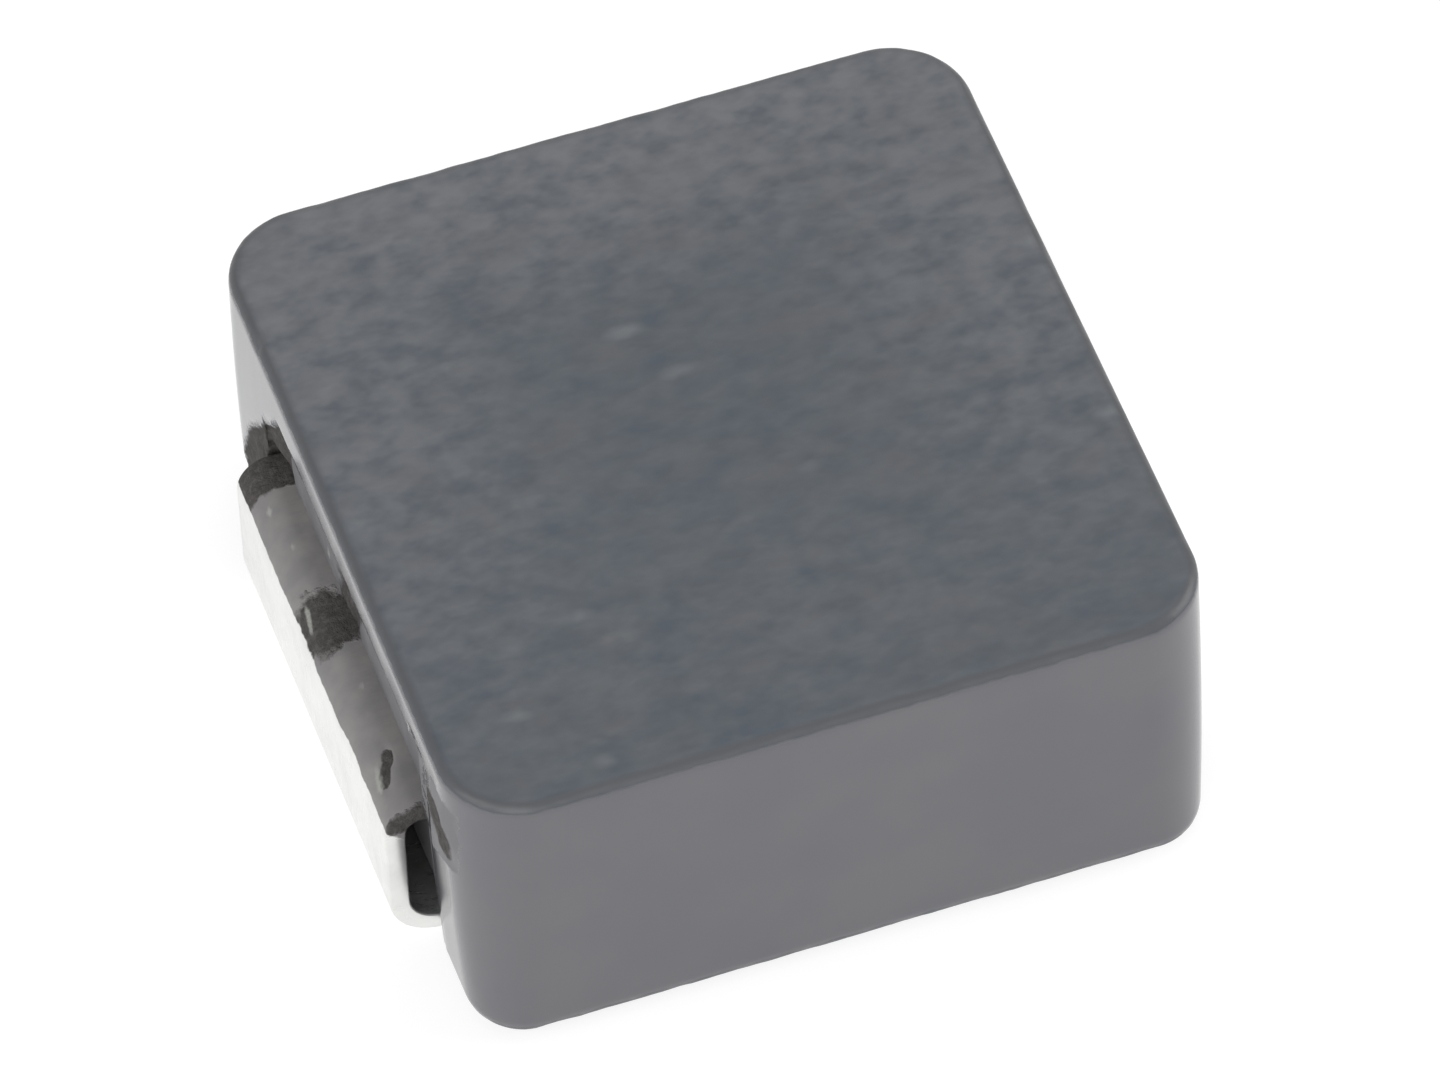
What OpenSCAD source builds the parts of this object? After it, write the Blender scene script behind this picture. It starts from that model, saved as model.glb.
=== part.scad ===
// Shielded surface-mount power inductor.
// A flat-wire coil is pressed inside a block of iron powder, which is both its core and its
// shield. The coil's two ends are welded to lead-frame strips, which leave the block's sides at
// mid height and fold down and under it as solder pads.
// Millimetres. The origin is the centre of the footprint, on the plane of the solder pads.
// X runs across the terminals, Y along them and Z up.

/* [Body] */
// Width of the block, across its two terminals
body_w = 6.5; // [6.3:0.05:7.2]
// Length of the block, along its terminals
body_l = 6.8; // [6.4:0.05:7.6]
// Height of the whole part, from the solder pads to the top face
part_h = 3; // [2.8:0.05:4]
// Radius of the block's upright corners
corner_r = 0.75; // [0.5:0.05:0.9]
// Rounding of the block's top rim
top_rim_r = 0.12; // [0.06:0.02:0.2]
// Rounding of the block's bottom rim, and of the channels' lower edges
bottom_rim_r = 0.2; // [0.1:0.02:0.24]

/* [Terminal strips] */
// Width of a strip
strip_w = 4; // [3.4:0.05:4.4]
// Thickness of the sheet that the strips are cut from
strip_t = 0.17; // [0.12:0.01:0.2]
// Height of a strip's upper face where it leaves the block
exit_h = 1.62; // [1.5:0.01:1.75]
// Distance from the block's side to a strip's outer face
strip_reach = 0.28; // [0.24:0.01:0.36]
// Outer radius of the bend beside the block
upper_bend_r = 0.3; // [0.26:0.01:0.34]
// Outer radius of the bend below it
lower_bend_r = 0.45; // [0.36:0.01:0.55]
// Length of a solder pad, from the strip's outer face to its cut end
pad_l = 1.75; // [1.2:0.05:2.2]
// Height that the solder pads stand proud of the block's underside
standoff = 0.03; // [0.01:0.01:0.08]

/* [Terminal channels] */
// Depth of the channel in the block's side
channel_d = 0.12; // [0.08:0.01:0.2]
// Height of the plain lip between the channel and the top face
lip_h = 0.5; // [0.3:0.05:0.8]
// Radius of the channel's upper corners
channel_r = 0.15; // [0.05:0.01:0.25]
// Clearance beside a strip and past a pad's cut end
channel_gap = 0.03; // [0.02:0.01:0.08]
// Clearance between a pad and the block above it
pad_gap = 0.01; // [0.005:0.005:0.03]

/* [Winding] */
// Number of whole turns
turns = 5; // [3:1:6]
// Inner diameter of the coil
coil_bore_d = 2.8; // [2.4:0.05:3]
// Width of the flat wire, measured along the coil's radius
wire_w = 0.9; // [0.6:0.05:1]
// Thickness of the flat wire, measured along the coil's axis
wire_t = 0.3; // [0.2:0.01:0.32]
// Space between turns, filled by their enamel
turn_gap = 0.03; // [0.02:0.005:0.04]

/* [Embedded ends] */
// Depth of a strip's anchor bar inside the block
anchor_d = 0.3; // [0.2:0.01:0.36]
// Depth that the weld ear reaches inside the block
ear_d = 0.62; // [0.55:0.01:0.7]
// Length of the wire's weld under or over the ear
weld_l = 0.42; // [0.3:0.01:0.5]
// Size of the ear beyond the wire's edges and end
ear_margin = 0.05; // [0.02:0.01:0.1]
// Clearance between pieces that are pressed or welded together
mould_gap = 0.01; // [0.005:0.005:0.02]

/* [Hidden] */
$fn = 64;

// Block
body_h = part_h - standoff;
top_rim = min(top_rim_r, corner_r / 2);
bottom_rim = min(bottom_rim_r, corner_r / 2);
body_mid_z = standoff + body_h / 2;
cut_past = 1;

// Strips. The left one is described, and the right one mirrors it.
wall_x = body_w / 2;
strip_x = wall_x + strip_reach;
channel_x = wall_x - channel_d;
channel_w = strip_w + 2 * channel_gap;
exit_z = exit_h - strip_t;
anchor_x = channel_x - anchor_d;
pad_x = strip_x - pad_l;

// Coil. Its mean radius carries the wire's centre line.
coil_r = (coil_bore_d + wire_w) / 2;
coil_or = coil_bore_d / 2 + wire_w;
pitch = wire_t + turn_gap;
coil_rise = turns * pitch;
coil_start_z = body_mid_z - coil_rise / 2;
coil_end_z = body_mid_z + coil_rise / 2;
coil_gap = turn_gap / 2 + mould_gap;
turn_steps = 60;

// Tails. Each leaves its turn straight on, clears the turns beside it and then bends to its ear.
slope = pitch / (360 * PI / 180 * coil_r);
tail_x = sqrt(pow(coil_or, 2) - pow(coil_bore_d / 2, 2)) + turn_gap;
ear_x = channel_x - ear_d;
weld_x = ear_x + weld_l;
tail_drop = slope * tail_x;
tail_steps = 8;
ear_w = wire_w + 2 * ear_margin;
under_ear_z = exit_z - mould_gap - wire_t / 2;
over_ear_z = exit_h + mould_gap + wire_t / 2;

// Colours
coat_grey = [0.43, 0.44, 0.47];
copper = [0.72, 0.42, 0.24];
tin = [0.86, 0.86, 0.84];

// An S-shaped ramp from 0 to 1, level at both ends.
function ease(u) = u * u * (3 - 2 * u);

// Centre line of a tail, from the turn to the wire's cut end: sign is -1 on the left and 1 on
// the right, and past runs on from the cut end.
function tail_path(sign, turn_z, ear_z, past = 0) =
    let (tail_z = turn_z + sign * tail_drop)
    concat(
        [[0, -coil_r, turn_z]],
        [for (i = [0 : tail_steps])
            let (u = i / tail_steps)
            [sign * (tail_x + (ear_x - tail_x) * u), -coil_r, tail_z + (ear_z - tail_z) * ease(u)]],
        [[sign * (weld_x + past), -coil_r, ear_z]]
    );
function left_tail(past = 0) = tail_path(-1, coil_start_z, under_ear_z, past);
function right_tail(past = 0) = tail_path(1, coil_end_z, over_ear_z, past);

// Centre line of the turns between the tails, which rise anticlockwise from the coil's front.
function turns_path() =
    [for (i = [1 : turns * turn_steps - 1])
        let (a = 360 * i / turn_steps - 90)
        [coil_r * cos(a), coil_r * sin(a), coil_start_z + coil_rise * i / (turns * turn_steps)]];

function reversed(list) = [for (i = [len(list) - 1 : -1 : 0]) list[i]];
function unit(v) = v / norm(v);
function flat(v) = [v[0], v[1], 0];

// Direction in which a path arrives at a point, and in which it leaves.
function arriving(path, i) = unit(i == 0 ? path[1] - path[0] : path[i] - path[i - 1]);
function leaving(path, i) = unit(i == len(path) - 1 ? path[i] - path[i - 1] : path[i + 1] - path[i]);

// The four corners of a flat wire's section at a point of its path. The section lies in the
// plane that halves the bend there, and is widened to match, so the wire keeps its size.
function wire_section(path, i, w, t) =
    let (
        before = arriving(path, i),
        after = leaving(path, i),
        along = unit(before + after),
        side = unit([along[1], -along[0], 0]),
        up = cross(side, along),
        turn_half = unit(flat(before)) * unit(flat(along)),
        rise_half = before * along / turn_half,
        a = side * w / 2 / turn_half,
        b = up * t / 2 / rise_half
    )
    [path[i] - a - b, path[i] + a - b, path[i] + a + b, path[i] - a + b];

// A flat wire of width w and thickness t, laid along a path.
module flat_wire(path, w, t) {
    last = len(path) - 1;
    points = [for (i = [0 : last]) each wire_section(path, i, w, t)];
    sides = [for (i = [0 : last - 1], k = [0 : 3])
        let (a = 4 * i + k, b = 4 * i + (k + 1) % 4)
        each [[a, b, b + 4], [a, b + 4, a + 4]]];
    start_cap = [[0, 3, 2], [0, 2, 1]];
    end_cap = [for (f = start_cap) [f[2], f[1], f[0]] + 4 * last * [1, 1, 1]];
    polyhedron(points, concat(sides, start_cap, end_cap));
}

// A rectangle centred on the origin, with round corners.
module round_rectangle(w, h, r) {
    square([w, h - 2 * r], center = true);
    square([w - 2 * r, h], center = true);
    for (x = [-1, 1], y = [-1, 1]) translate([x * (w / 2 - r), y * (h / 2 - r)]) circle(r);
}

// Half of the block's section, w wide to the right of the middle, with both rims rounded.
module half_section(w, h) {
    translate([0, bottom_rim - h / 2]) square([w, h - bottom_rim - top_rim]);
    translate([0, -h / 2]) square([w - bottom_rim, h / 2]);
    square([w - top_rim, h / 2]);
    translate([w - bottom_rim, bottom_rim - h / 2]) circle(bottom_rim);
    translate([w - top_rim, h / 2 - top_rim]) circle(top_rim);
}

// A block centred on the origin, with upright corners of radius r and rounded rims.
module round_block(w, l, h, r) {
    rotate([90, 0, 0]) linear_extrude(l - 2 * r, center = true)
        for (side = [0, 1]) mirror([side, 0]) half_section(w / 2, h);
    for (y = [-1, 1]) translate([0, y * (l / 2 - r), 0]) end_wall(w - 2 * r, h, r, y);
    for (x = [-1, 1], y = [-1, 1])
        translate([x * (w / 2 - r), y * (l / 2 - r), 0])
            rotate([0, 0, atan2(y, x) - 45]) rotate_extrude(angle = 90) half_section(r, h);
}

// The straight wall between two corners, on the side that y points to.
module end_wall(w, h, r, y) {
    rotate([0, 0, y * 90]) rotate([90, 0, 0]) linear_extrude(w, center = true) half_section(r, h);
}

// The left strip's bends turn from their inner to their outer face over a quarter of a circle.
module quarter_bend(r, w) {
    rotate([90, 0, 0]) rotate_extrude(angle = 90)
        translate([r - strip_t, -w / 2]) square([strip_t, w]);
}

// A box between two corners.
module box(low, high) {
    translate(low) cube(high - low);
}

// The part of the left terminal inside the block: an anchor bar and the weld ear, grown by gap.
module left_embedded(gap) {
    box(
        [-channel_x - gap, -strip_w / 2 - gap, exit_z - gap],
        [-anchor_x + gap, strip_w / 2 + gap, exit_h + gap]
    );
    box(
        [-weld_x - ear_margin - gap, -coil_r - ear_w / 2 - gap, exit_z - gap],
        [-ear_x + gap, -coil_r + ear_w / 2 + gap, exit_h + gap]
    );
}

// The left terminal: the embedded end, the strip's fold down the side and the solder pad.
module left_strip() {
    left_embedded(0);
    box([-strip_x + upper_bend_r, -strip_w / 2, exit_z], [-channel_x, strip_w / 2, exit_h]);
    translate([-strip_x + upper_bend_r, 0, exit_h - upper_bend_r])
        rotate([0, -90, 0]) quarter_bend(upper_bend_r, strip_w);
    box(
        [-strip_x, -strip_w / 2, lower_bend_r],
        [-strip_x + strip_t, strip_w / 2, exit_h - upper_bend_r]
    );
    translate([-strip_x + lower_bend_r, 0, lower_bend_r])
        rotate([0, 180, 0]) quarter_bend(lower_bend_r, strip_w);
    box([-strip_x + lower_bend_r, -strip_w / 2, 0], [-pad_x, strip_w / 2, strip_t]);
}

// The channel that the left strip lies in: a window in the side, open at the bottom, a pocket
// in the underside, and a round edge between them that the lower bend passes.
module left_channel() {
    roof_z = strip_t + pad_gap;
    window_h = part_h - lip_h + cut_past;
    translate([-channel_x - cut_past, 0, window_h / 2 - cut_past])
        rotate([90, 0, 90]) linear_extrude(cut_past)
            round_rectangle(channel_w, window_h, channel_r);
    box([-wall_x - cut_past, -channel_w / 2, -cut_past], [-pad_x + channel_gap, channel_w / 2, roof_z]);
    translate([-channel_x, 0, roof_z])
        rotate([90, 0, 0]) linear_extrude(channel_w, center = true) difference() {
            square(2 * bottom_rim, center = true);
            translate([bottom_rim, bottom_rim]) circle(bottom_rim);
            translate([bottom_rim, -2 * bottom_rim]) square([2 * bottom_rim, 4 * bottom_rim]);
            translate([-2 * bottom_rim, bottom_rim]) square([4 * bottom_rim, 2 * bottom_rim]);
        }
}

// The space that the coil fills: a ring for the turns and a way out for each tail.
module coil_space() {
    translate([0, 0, body_mid_z]) rotate_extrude()
        translate([coil_r, 0])
            square([wire_w, coil_rise + wire_t] + 2 * coil_gap * [1, 1], center = true);
    for (path = [left_tail(mould_gap), right_tail(mould_gap)])
        flat_wire(path, wire_w + 2 * mould_gap, wire_t + 2 * mould_gap);
}

// Pressed iron powder with a grey coat. It fills the coil's eye and surrounds it.
module moulded_body() {
    color(coat_grey) difference() {
        translate([0, 0, body_mid_z]) round_block(body_w, body_l, body_h, corner_r);
        for (side = [0, 1]) mirror([side, 0, 0]) {
            left_channel();
            left_embedded(mould_gap);
        }
        coil_space();
    }
}

// Enamelled flat copper wire, wound on edge, from the left ear to the right one.
module winding() {
    color(copper) flat_wire(concat(reversed(left_tail()), turns_path(), right_tail()), wire_w, wire_t);
}

// Tinned copper strip on the left.
module left_terminal() {
    color(tin) left_strip();
}

// Tinned copper strip on the right.
module right_terminal() {
    color(tin) mirror([1, 0, 0]) left_strip();
}

moulded_body();
winding();
left_terminal();
right_terminal();
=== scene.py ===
"""Looks of a shielded moulded power inductor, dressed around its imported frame.

The block is one coated shell with a channel in each side, the two terminals are folded strips
of tinned copper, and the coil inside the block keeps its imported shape. Shapes are worked out
in millimetres and turned into metres once they are finished.
"""

import logging
import math
from dataclasses import dataclass, field
from enum import Enum

import bmesh
import bpy
from bmesh.types import BMEdge, BMesh, BMFace, BMVert
from mathutils import Matrix, Vector, noise


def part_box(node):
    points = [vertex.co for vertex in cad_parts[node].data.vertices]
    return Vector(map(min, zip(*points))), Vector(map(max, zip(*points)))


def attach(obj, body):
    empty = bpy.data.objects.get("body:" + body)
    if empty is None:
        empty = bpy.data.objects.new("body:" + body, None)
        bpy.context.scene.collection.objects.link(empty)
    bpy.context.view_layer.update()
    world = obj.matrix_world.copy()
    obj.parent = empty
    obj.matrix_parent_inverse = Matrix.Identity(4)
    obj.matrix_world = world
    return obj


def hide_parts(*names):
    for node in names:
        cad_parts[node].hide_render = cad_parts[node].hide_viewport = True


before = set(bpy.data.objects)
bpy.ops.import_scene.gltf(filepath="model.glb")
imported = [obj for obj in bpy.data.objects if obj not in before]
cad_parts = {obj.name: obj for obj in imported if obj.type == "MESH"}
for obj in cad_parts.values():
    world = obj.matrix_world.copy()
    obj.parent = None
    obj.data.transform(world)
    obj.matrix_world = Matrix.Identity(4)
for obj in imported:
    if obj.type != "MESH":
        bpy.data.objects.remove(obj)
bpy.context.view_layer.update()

MM = 0.001
BODY = "root"
LOG = logging.getLogger("inductor")

ON_PLANE = 1e-5
MERGE = 1e-4
SQUARE_ON = 0.9

Socket = bpy.types.NodeSocket
Span = tuple[float, float]
Triple = tuple[float, float, float]


class Side(Enum):
    """The side of the block that a terminal folds down."""

    LEFT = -1
    RIGHT = 1

    @property
    def terminal(self) -> str:
        """Name of the CAD node of this side's terminal."""
        return f"{self.name.lower()}_terminal"


class Axis(Enum):
    """An axis of the part, with the direction that it points in."""

    X = (1, 0, 0)
    Y = (0, 1, 0)
    Z = (0, 0, 1)


# ---------------------------------------------------------------- small helpers


def clamp(value: float) -> float:
    """The value, held between 0 and 1."""
    return min(max(value, 0.0), 1.0)


def ramp(low: float, high: float, value: float) -> float:
    """A smooth step that is 0 at low and 1 at high.

    Args:
        low: Value at which the step starts.
        high: Value at which it ends, which may lie below low.
        value: Value to place on the step.

    Returns:
        A number from 0 to 1.
    """
    u = clamp((value - low) / (high - low))
    return u * u * (3 - 2 * u)


def faded(room: float, width: float) -> float:
    """Strength of a mark at a distance inside its border, on which it is 0.5."""
    return clamp(0.5 + room / width)


@dataclass(frozen=True)
class Wave:
    """Irregular relief: its height and the size of its grains in millimetres, and its layers."""

    height: float
    size: float
    octaves: int = 3
    fall: float = 1.0
    step: float = 2.0

    def at(self, p: Vector) -> float:
        """Height in millimetres at a point, which is the same on every run.

        Args:
            p: Point in millimetres.

        Returns:
            A number from about -height to height.
        """
        place, basis = p / self.size, "PERLIN_ORIGINAL"
        return self.height * noise.fractal(place, self.fall, self.step, self.octaves, noise_basis=basis)


def cad_box(node: str) -> tuple[Vector, Vector]:
    """The lowest and highest corner of a CAD node, in millimetres."""
    low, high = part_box(node)
    return low / MM, high / MM


def stations(low: float, high: float, step: float, borders: list[float]) -> list[float]:
    """Places at which a mesh is cut, evenly apart and with one exactly on each border.

    Args:
        low: Start of the stretch, where no cut is needed.
        high: End of the stretch, where no cut is needed.
        step: Rough distance between two cuts.
        borders: Places that need a cut of their own.

    Returns:
        The places in rising order.
    """
    marks = [low, *sorted(b for b in borders if low < b < high), high]
    cuts = []
    for start, end in zip(marks, marks[1:]):
        count = max(1, round((end - start) / step))
        cuts += [start + (end - start) * i / count for i in range(1, count + 1)]
    return cuts[:-1]


def cut(bm: BMesh, axis: Axis, places: list[float]) -> None:
    """Cuts a mesh with planes square to an axis.

    Args:
        bm: Mesh to cut.
        axis: Axis that the planes are square to.
        places: Where each plane crosses the axis.
    """
    normal = Vector(axis.value)
    for place in places:
        whole = [*bm.verts, *bm.edges, *bm.faces]
        bmesh.ops.bisect_plane(bm, geom=whole, dist=ON_PLANE, plane_co=normal * place, plane_no=normal)


def close_up(bm: BMesh) -> None:
    """Merges the doubles of a shell and turns its faces outwards."""
    bmesh.ops.remove_doubles(bm, verts=bm.verts, dist=MERGE)
    bmesh.ops.recalc_face_normals(bm, faces=bm.faces)


def finished_piece(bm: BMesh, name: str) -> bpy.types.Object:
    """Turns a mesh in millimetres into a smooth-shaded piece in metres.

    Args:
        bm: The finished mesh, which is freed.
        name: Name of the piece.

    Returns:
        The piece, linked to the scene and riding on the part's one body.
    """
    bmesh.ops.transform(bm, matrix=Matrix.Scale(MM, 4), verts=bm.verts)
    for face in bm.faces:
        face.smooth = True
    mesh = bpy.data.meshes.new(name)
    bm.to_mesh(mesh)
    bm.free()
    piece = bpy.data.objects.new(name, mesh)
    bpy.context.scene.collection.objects.link(piece)
    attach(piece, BODY)
    return piece


def sharp_edges(bm: BMesh, least_angle: float) -> list[BMEdge]:
    """The edges at which two faces meet at more than an angle, in degrees."""
    limit = math.radians(least_angle)
    return [e for e in bm.edges if len(e.link_faces) == 2 and e.calc_face_angle() > limit]


def bevel(bm: BMesh, edges: list[BMEdge], width: float, segments: int) -> None:
    """Rounds edges of a mesh.

    Args:
        bm: Mesh to change.
        edges: Edges to round.
        width: Width of the rounding on each face.
        segments: Number of facets across it.
    """
    bmesh.ops.bevel(
        bm, geom=edges, offset=width, offset_type="OFFSET", segments=segments,
        profile=0.5, affect="EDGES", material=-1, clamp_overlap=True,
    )


def shift(bm: BMesh, moves: list[Vector]) -> None:
    """Moves every corner of a mesh by its own vector."""
    for v, move in zip(bm.verts, moves):
        v.co += move


# ---------------------------------------------------------------- finishes


@dataclass(frozen=True)
class Pattern:
    """A noise pattern: its grains in millimetres, its finer layers, and its scale along each axis."""

    size: float
    detail: float = 2.0
    roughness: float = 0.5
    scale: Triple | None = None


@dataclass(frozen=True)
class Border:
    """How a mask that fades slowly gets a sharp, ragged border.

    Its teeth have a size in millimetres. How far they move the border, the mask's value on the
    border and half the width of the fade across it are in units of the mask.
    """

    tooth: float
    strength: float
    limit: float = 0.5
    blur: float = 0.04
    detail: float = 4.0
    roughness: float = 0.6


class NodeSheet:
    """Builds the nodes of one procedural material."""

    noise_span: Span = (0.25, 0.75)

    def __init__(self, name: str) -> None:
        """Starts a material with its own Principled shader.

        Args:
            name: Name of the material.
        """
        self.material = bpy.data.materials.new(name)
        self.material.use_nodes = True
        self.nodes = self.material.node_tree.nodes
        self.links = self.material.node_tree.links
        self.shader = self.nodes["Principled BSDF"]
        coordinates = self.nodes.new("ShaderNodeTexCoord")
        self.millimetres = self._scaled(coordinates.outputs["Object"], (1 / MM,) * 3)

    def _scaled(self, vector: Socket, scale: Triple) -> Socket:
        """Scales coordinates along each axis.

        Args:
            vector: The coordinates.
            scale: Factor along each axis.

        Returns:
            The socket with the scaled coordinates.
        """
        mapping = self.nodes.new("ShaderNodeMapping")
        mapping.inputs["Scale"].default_value = scale
        self.put(mapping.inputs["Vector"], vector)
        return mapping.outputs["Vector"]

    def _place(self, scale: Triple | None) -> Socket:
        """Coordinates in millimetres, scaled along each axis where a scale is given."""
        return self.millimetres if scale is None else self._scaled(self.millimetres, scale)

    def put(self, target: Socket, value: Socket | Triple | float) -> None:
        """Links a socket to an input, or writes a colour or a number into it.

        Args:
            target: Input of a node.
            value: Socket to link, or what to write.
        """
        if isinstance(value, Socket):
            self.links.new(value, target)
        elif isinstance(value, tuple):
            target.default_value = (*value, 1.0)
        else:
            target.default_value = value

    def feed(self, name: str, source: Socket | float) -> None:
        """Gives the shader's input of a name a socket or a number."""
        self.put(self.shader.inputs[name], source)

    def noise(self, pattern: Pattern) -> Socket:
        """Noise over the surface.

        Args:
            pattern: Size and layers of the noise.

        Returns:
            A socket with values round 0.5.
        """
        texture = self.nodes.new("ShaderNodeTexNoise")
        texture.inputs["Scale"].default_value = 1 / pattern.size
        texture.inputs["Detail"].default_value = pattern.detail
        texture.inputs["Roughness"].default_value = pattern.roughness
        self.put(texture.inputs["Vector"], self._place(pattern.scale))
        return texture.outputs["Fac"]

    def specks(self, pattern: Pattern) -> Socket:
        """Distance to the nearest of many scattered points.

        Args:
            pattern: Distance between the points as its size, and its scale.

        Returns:
            A socket that is 0 on each point.
        """
        texture = self.nodes.new("ShaderNodeTexVoronoi")
        texture.inputs["Scale"].default_value = 1 / pattern.size
        self.put(texture.inputs["Vector"], self._place(pattern.scale))
        return texture.outputs["Distance"]

    def attribute(self, name: str) -> Socket:
        """Reads a mask that the mesh carries.

        Args:
            name: Name of the mask.

        Returns:
            The socket with its value.
        """
        node = self.nodes.new("ShaderNodeAttribute")
        node.attribute_name = name
        return node.outputs["Fac"]

    def fit(self, value: Socket, span: Span, result: Span = (0.0, 1.0)) -> Socket:
        """Spreads a value's range over another one, clamped at both ends.

        Args:
            value: Socket to read.
            span: Values that become the two ends of the result.
            result: Both ends of the result.

        Returns:
            The socket with the result.
        """
        node = self.nodes.new("ShaderNodeMapRange")
        for name, number in zip(("From Min", "From Max", "To Min", "To Max"), (*span, *result)):
            node.inputs[name].default_value = number
        self.put(node.inputs["Value"], value)
        return node.outputs["Result"]

    def math(self, operation: str, first: Socket, second: Socket | float) -> Socket:
        """Does a sum.

        Args:
            operation: Blender's name for the sum.
            first: Its first value.
            second: Its second value.

        Returns:
            The socket with the result.
        """
        node = self.nodes.new("ShaderNodeMath")
        node.operation = operation
        self.put(node.inputs[0], first)
        self.put(node.inputs[1], second)
        return node.outputs[0]

    def times(self, first: Socket, second: Socket | float) -> Socket:
        """Product of a socket and a socket or number."""
        return self.math("MULTIPLY", first, second)

    def ragged(self, mask: str, border: Border) -> Socket:
        """Turns a mask that fades slowly into one with a sharp, ragged border.

        Args:
            mask: Name of the mask in the mesh.
            border: Look of the border.

        Returns:
            A socket that is 0 outside the border and 1 inside.
        """
        reach = (-border.strength, border.strength)
        pattern = Pattern(border.tooth, border.detail, border.roughness)
        teeth = self.fit(self.noise(pattern), self.noise_span, reach)
        edge = (border.limit - border.blur, border.limit + border.blur)
        return self.fit(self.math("ADD", self.attribute(mask), teeth), edge)

    def mix(self, share: Socket, first: Socket | Triple, second: Socket | Triple) -> Socket:
        """Blends two colours.

        Args:
            share: Share of the second colour, from 0 to 1.
            first: Colour that shows at 0.
            second: Colour that shows at 1.

        Returns:
            The socket with the blend.
        """
        node = self.nodes.new("ShaderNodeMix")
        node.data_type = "RGBA"
        self.put(node.inputs["Factor"], share)
        self.put(node.inputs[6], first)
        self.put(node.inputs[7], second)
        return node.outputs[2]

    def blend(self, share: Socket, first: Socket | float, second: float) -> Socket:
        """Blends two numbers.

        Args:
            share: Share of the second number, from 0 to 1.
            first: Number that holds at 0.
            second: Number that holds at 1.

        Returns:
            The socket with the blend.
        """
        node = self.nodes.new("ShaderNodeMix")
        self.put(node.inputs["Factor"], share)
        self.put(node.inputs[2], first)
        self.put(node.inputs[3], second)
        return node.outputs[0]

    def bump(self, height: Socket, depth: float, below: Socket | None = None) -> Socket:
        """Makes fine relief.

        Args:
            height: Height from 0 to 1.
            depth: Depth of the relief in millimetres.
            below: Relief that this one lies on.

        Returns:
            The normal for the shader or for the next relief.
        """
        node = self.nodes.new("ShaderNodeBump")
        node.inputs["Distance"].default_value = depth * MM
        self.put(node.inputs["Height"], height)
        if below is not None:
            self.put(node.inputs["Normal"], below)
        return node.outputs["Normal"]


@dataclass(frozen=True)
class Cover:
    """Where grime and painted flake glints lie on a material: one mask for each kind, 1 where it lies."""

    sprayed: Socket
    worn: Socket
    glinting_flake: Socket


@dataclass(frozen=True)
class Grime:
    """What lies in the channels: overspray, rubbed powder, and the odd flake whose glint is painted in as a
    bright colour.
    """

    spray: Triple = (0.176, 0.17, 0.172)
    pale_spray: Triple = (0.222, 0.215, 0.208)
    powder: Triple = (0.04, 0.037, 0.035)
    pale_powder: Triple = (0.09, 0.082, 0.077)
    # Painted highlight: a bright colour that stands in for the glint of a flake.
    flake_glint: Triple = (0.3, 0.3, 0.285)
    spray_gloss: float = 0.6
    powder_gloss: float = 0.85
    spray_border: Border = Border(0.14, 0.1)
    powder_border: Border = Border(0.14, 0.13, blur=0.07)
    flake_glint_border: Border = Border(0.05, 0.15, blur=0.2)
    spray_patches: Pattern = Pattern(0.3, 3.0, 0.55)
    spray_span: Span = (0.36, 0.66)
    powder_grains: Pattern = Pattern(0.06, 4.0, 0.65)
    powder_span: Span = (0.42, 0.72)
    powder_crumbs: Pattern = Pattern(0.07, 5.0, 0.7)
    crumb_depth: float = 0.04

    def cover(self, sheet: NodeSheet) -> Cover:
        """Reads the masks of the mesh.

        Args:
            sheet: Nodes of the material.

        Returns:
            The masks with their ragged borders.
        """
        return Cover(
            sheet.ragged("dust", self.spray_border),
            sheet.ragged("wear", self.powder_border),
            sheet.ragged("flake_glint", self.flake_glint_border),
        )

    def lay(self, sheet: NodeSheet, cover: Cover, clean: Socket, gloss: Socket, relief: Socket) -> None:
        """Lays spray, powder and painted flake glints over a finish, and feeds the shader.

        Args:
            sheet: Nodes of the material.
            cover: Where the grime and the painted flake glints lie.
            clean: Colour of the finish below.
            gloss: Roughness of the finish below.
            relief: Normal of the finish below.
        """
        patches = sheet.fit(sheet.noise(self.spray_patches), self.spray_span)
        grains = sheet.fit(sheet.noise(self.powder_grains), self.powder_span)
        spray = sheet.mix(patches, self.spray, self.pale_spray)
        powder = sheet.mix(grains, self.powder, self.pale_powder)
        colour = sheet.mix(cover.worn, sheet.mix(cover.sprayed, clean, spray), powder)
        # Painted highlight: flakes take a bright colour that stands in for their glint.
        sheet.feed("Base Color", sheet.mix(cover.glinting_flake, colour, self.flake_glint))
        gloss = sheet.blend(cover.sprayed, gloss, self.spray_gloss)
        sheet.feed("Roughness", sheet.blend(cover.worn, gloss, self.powder_gloss))
        crumbs = sheet.times(sheet.noise(self.powder_crumbs), cover.worn)
        sheet.feed("Normal", sheet.bump(crumbs, self.crumb_depth, relief))


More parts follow.
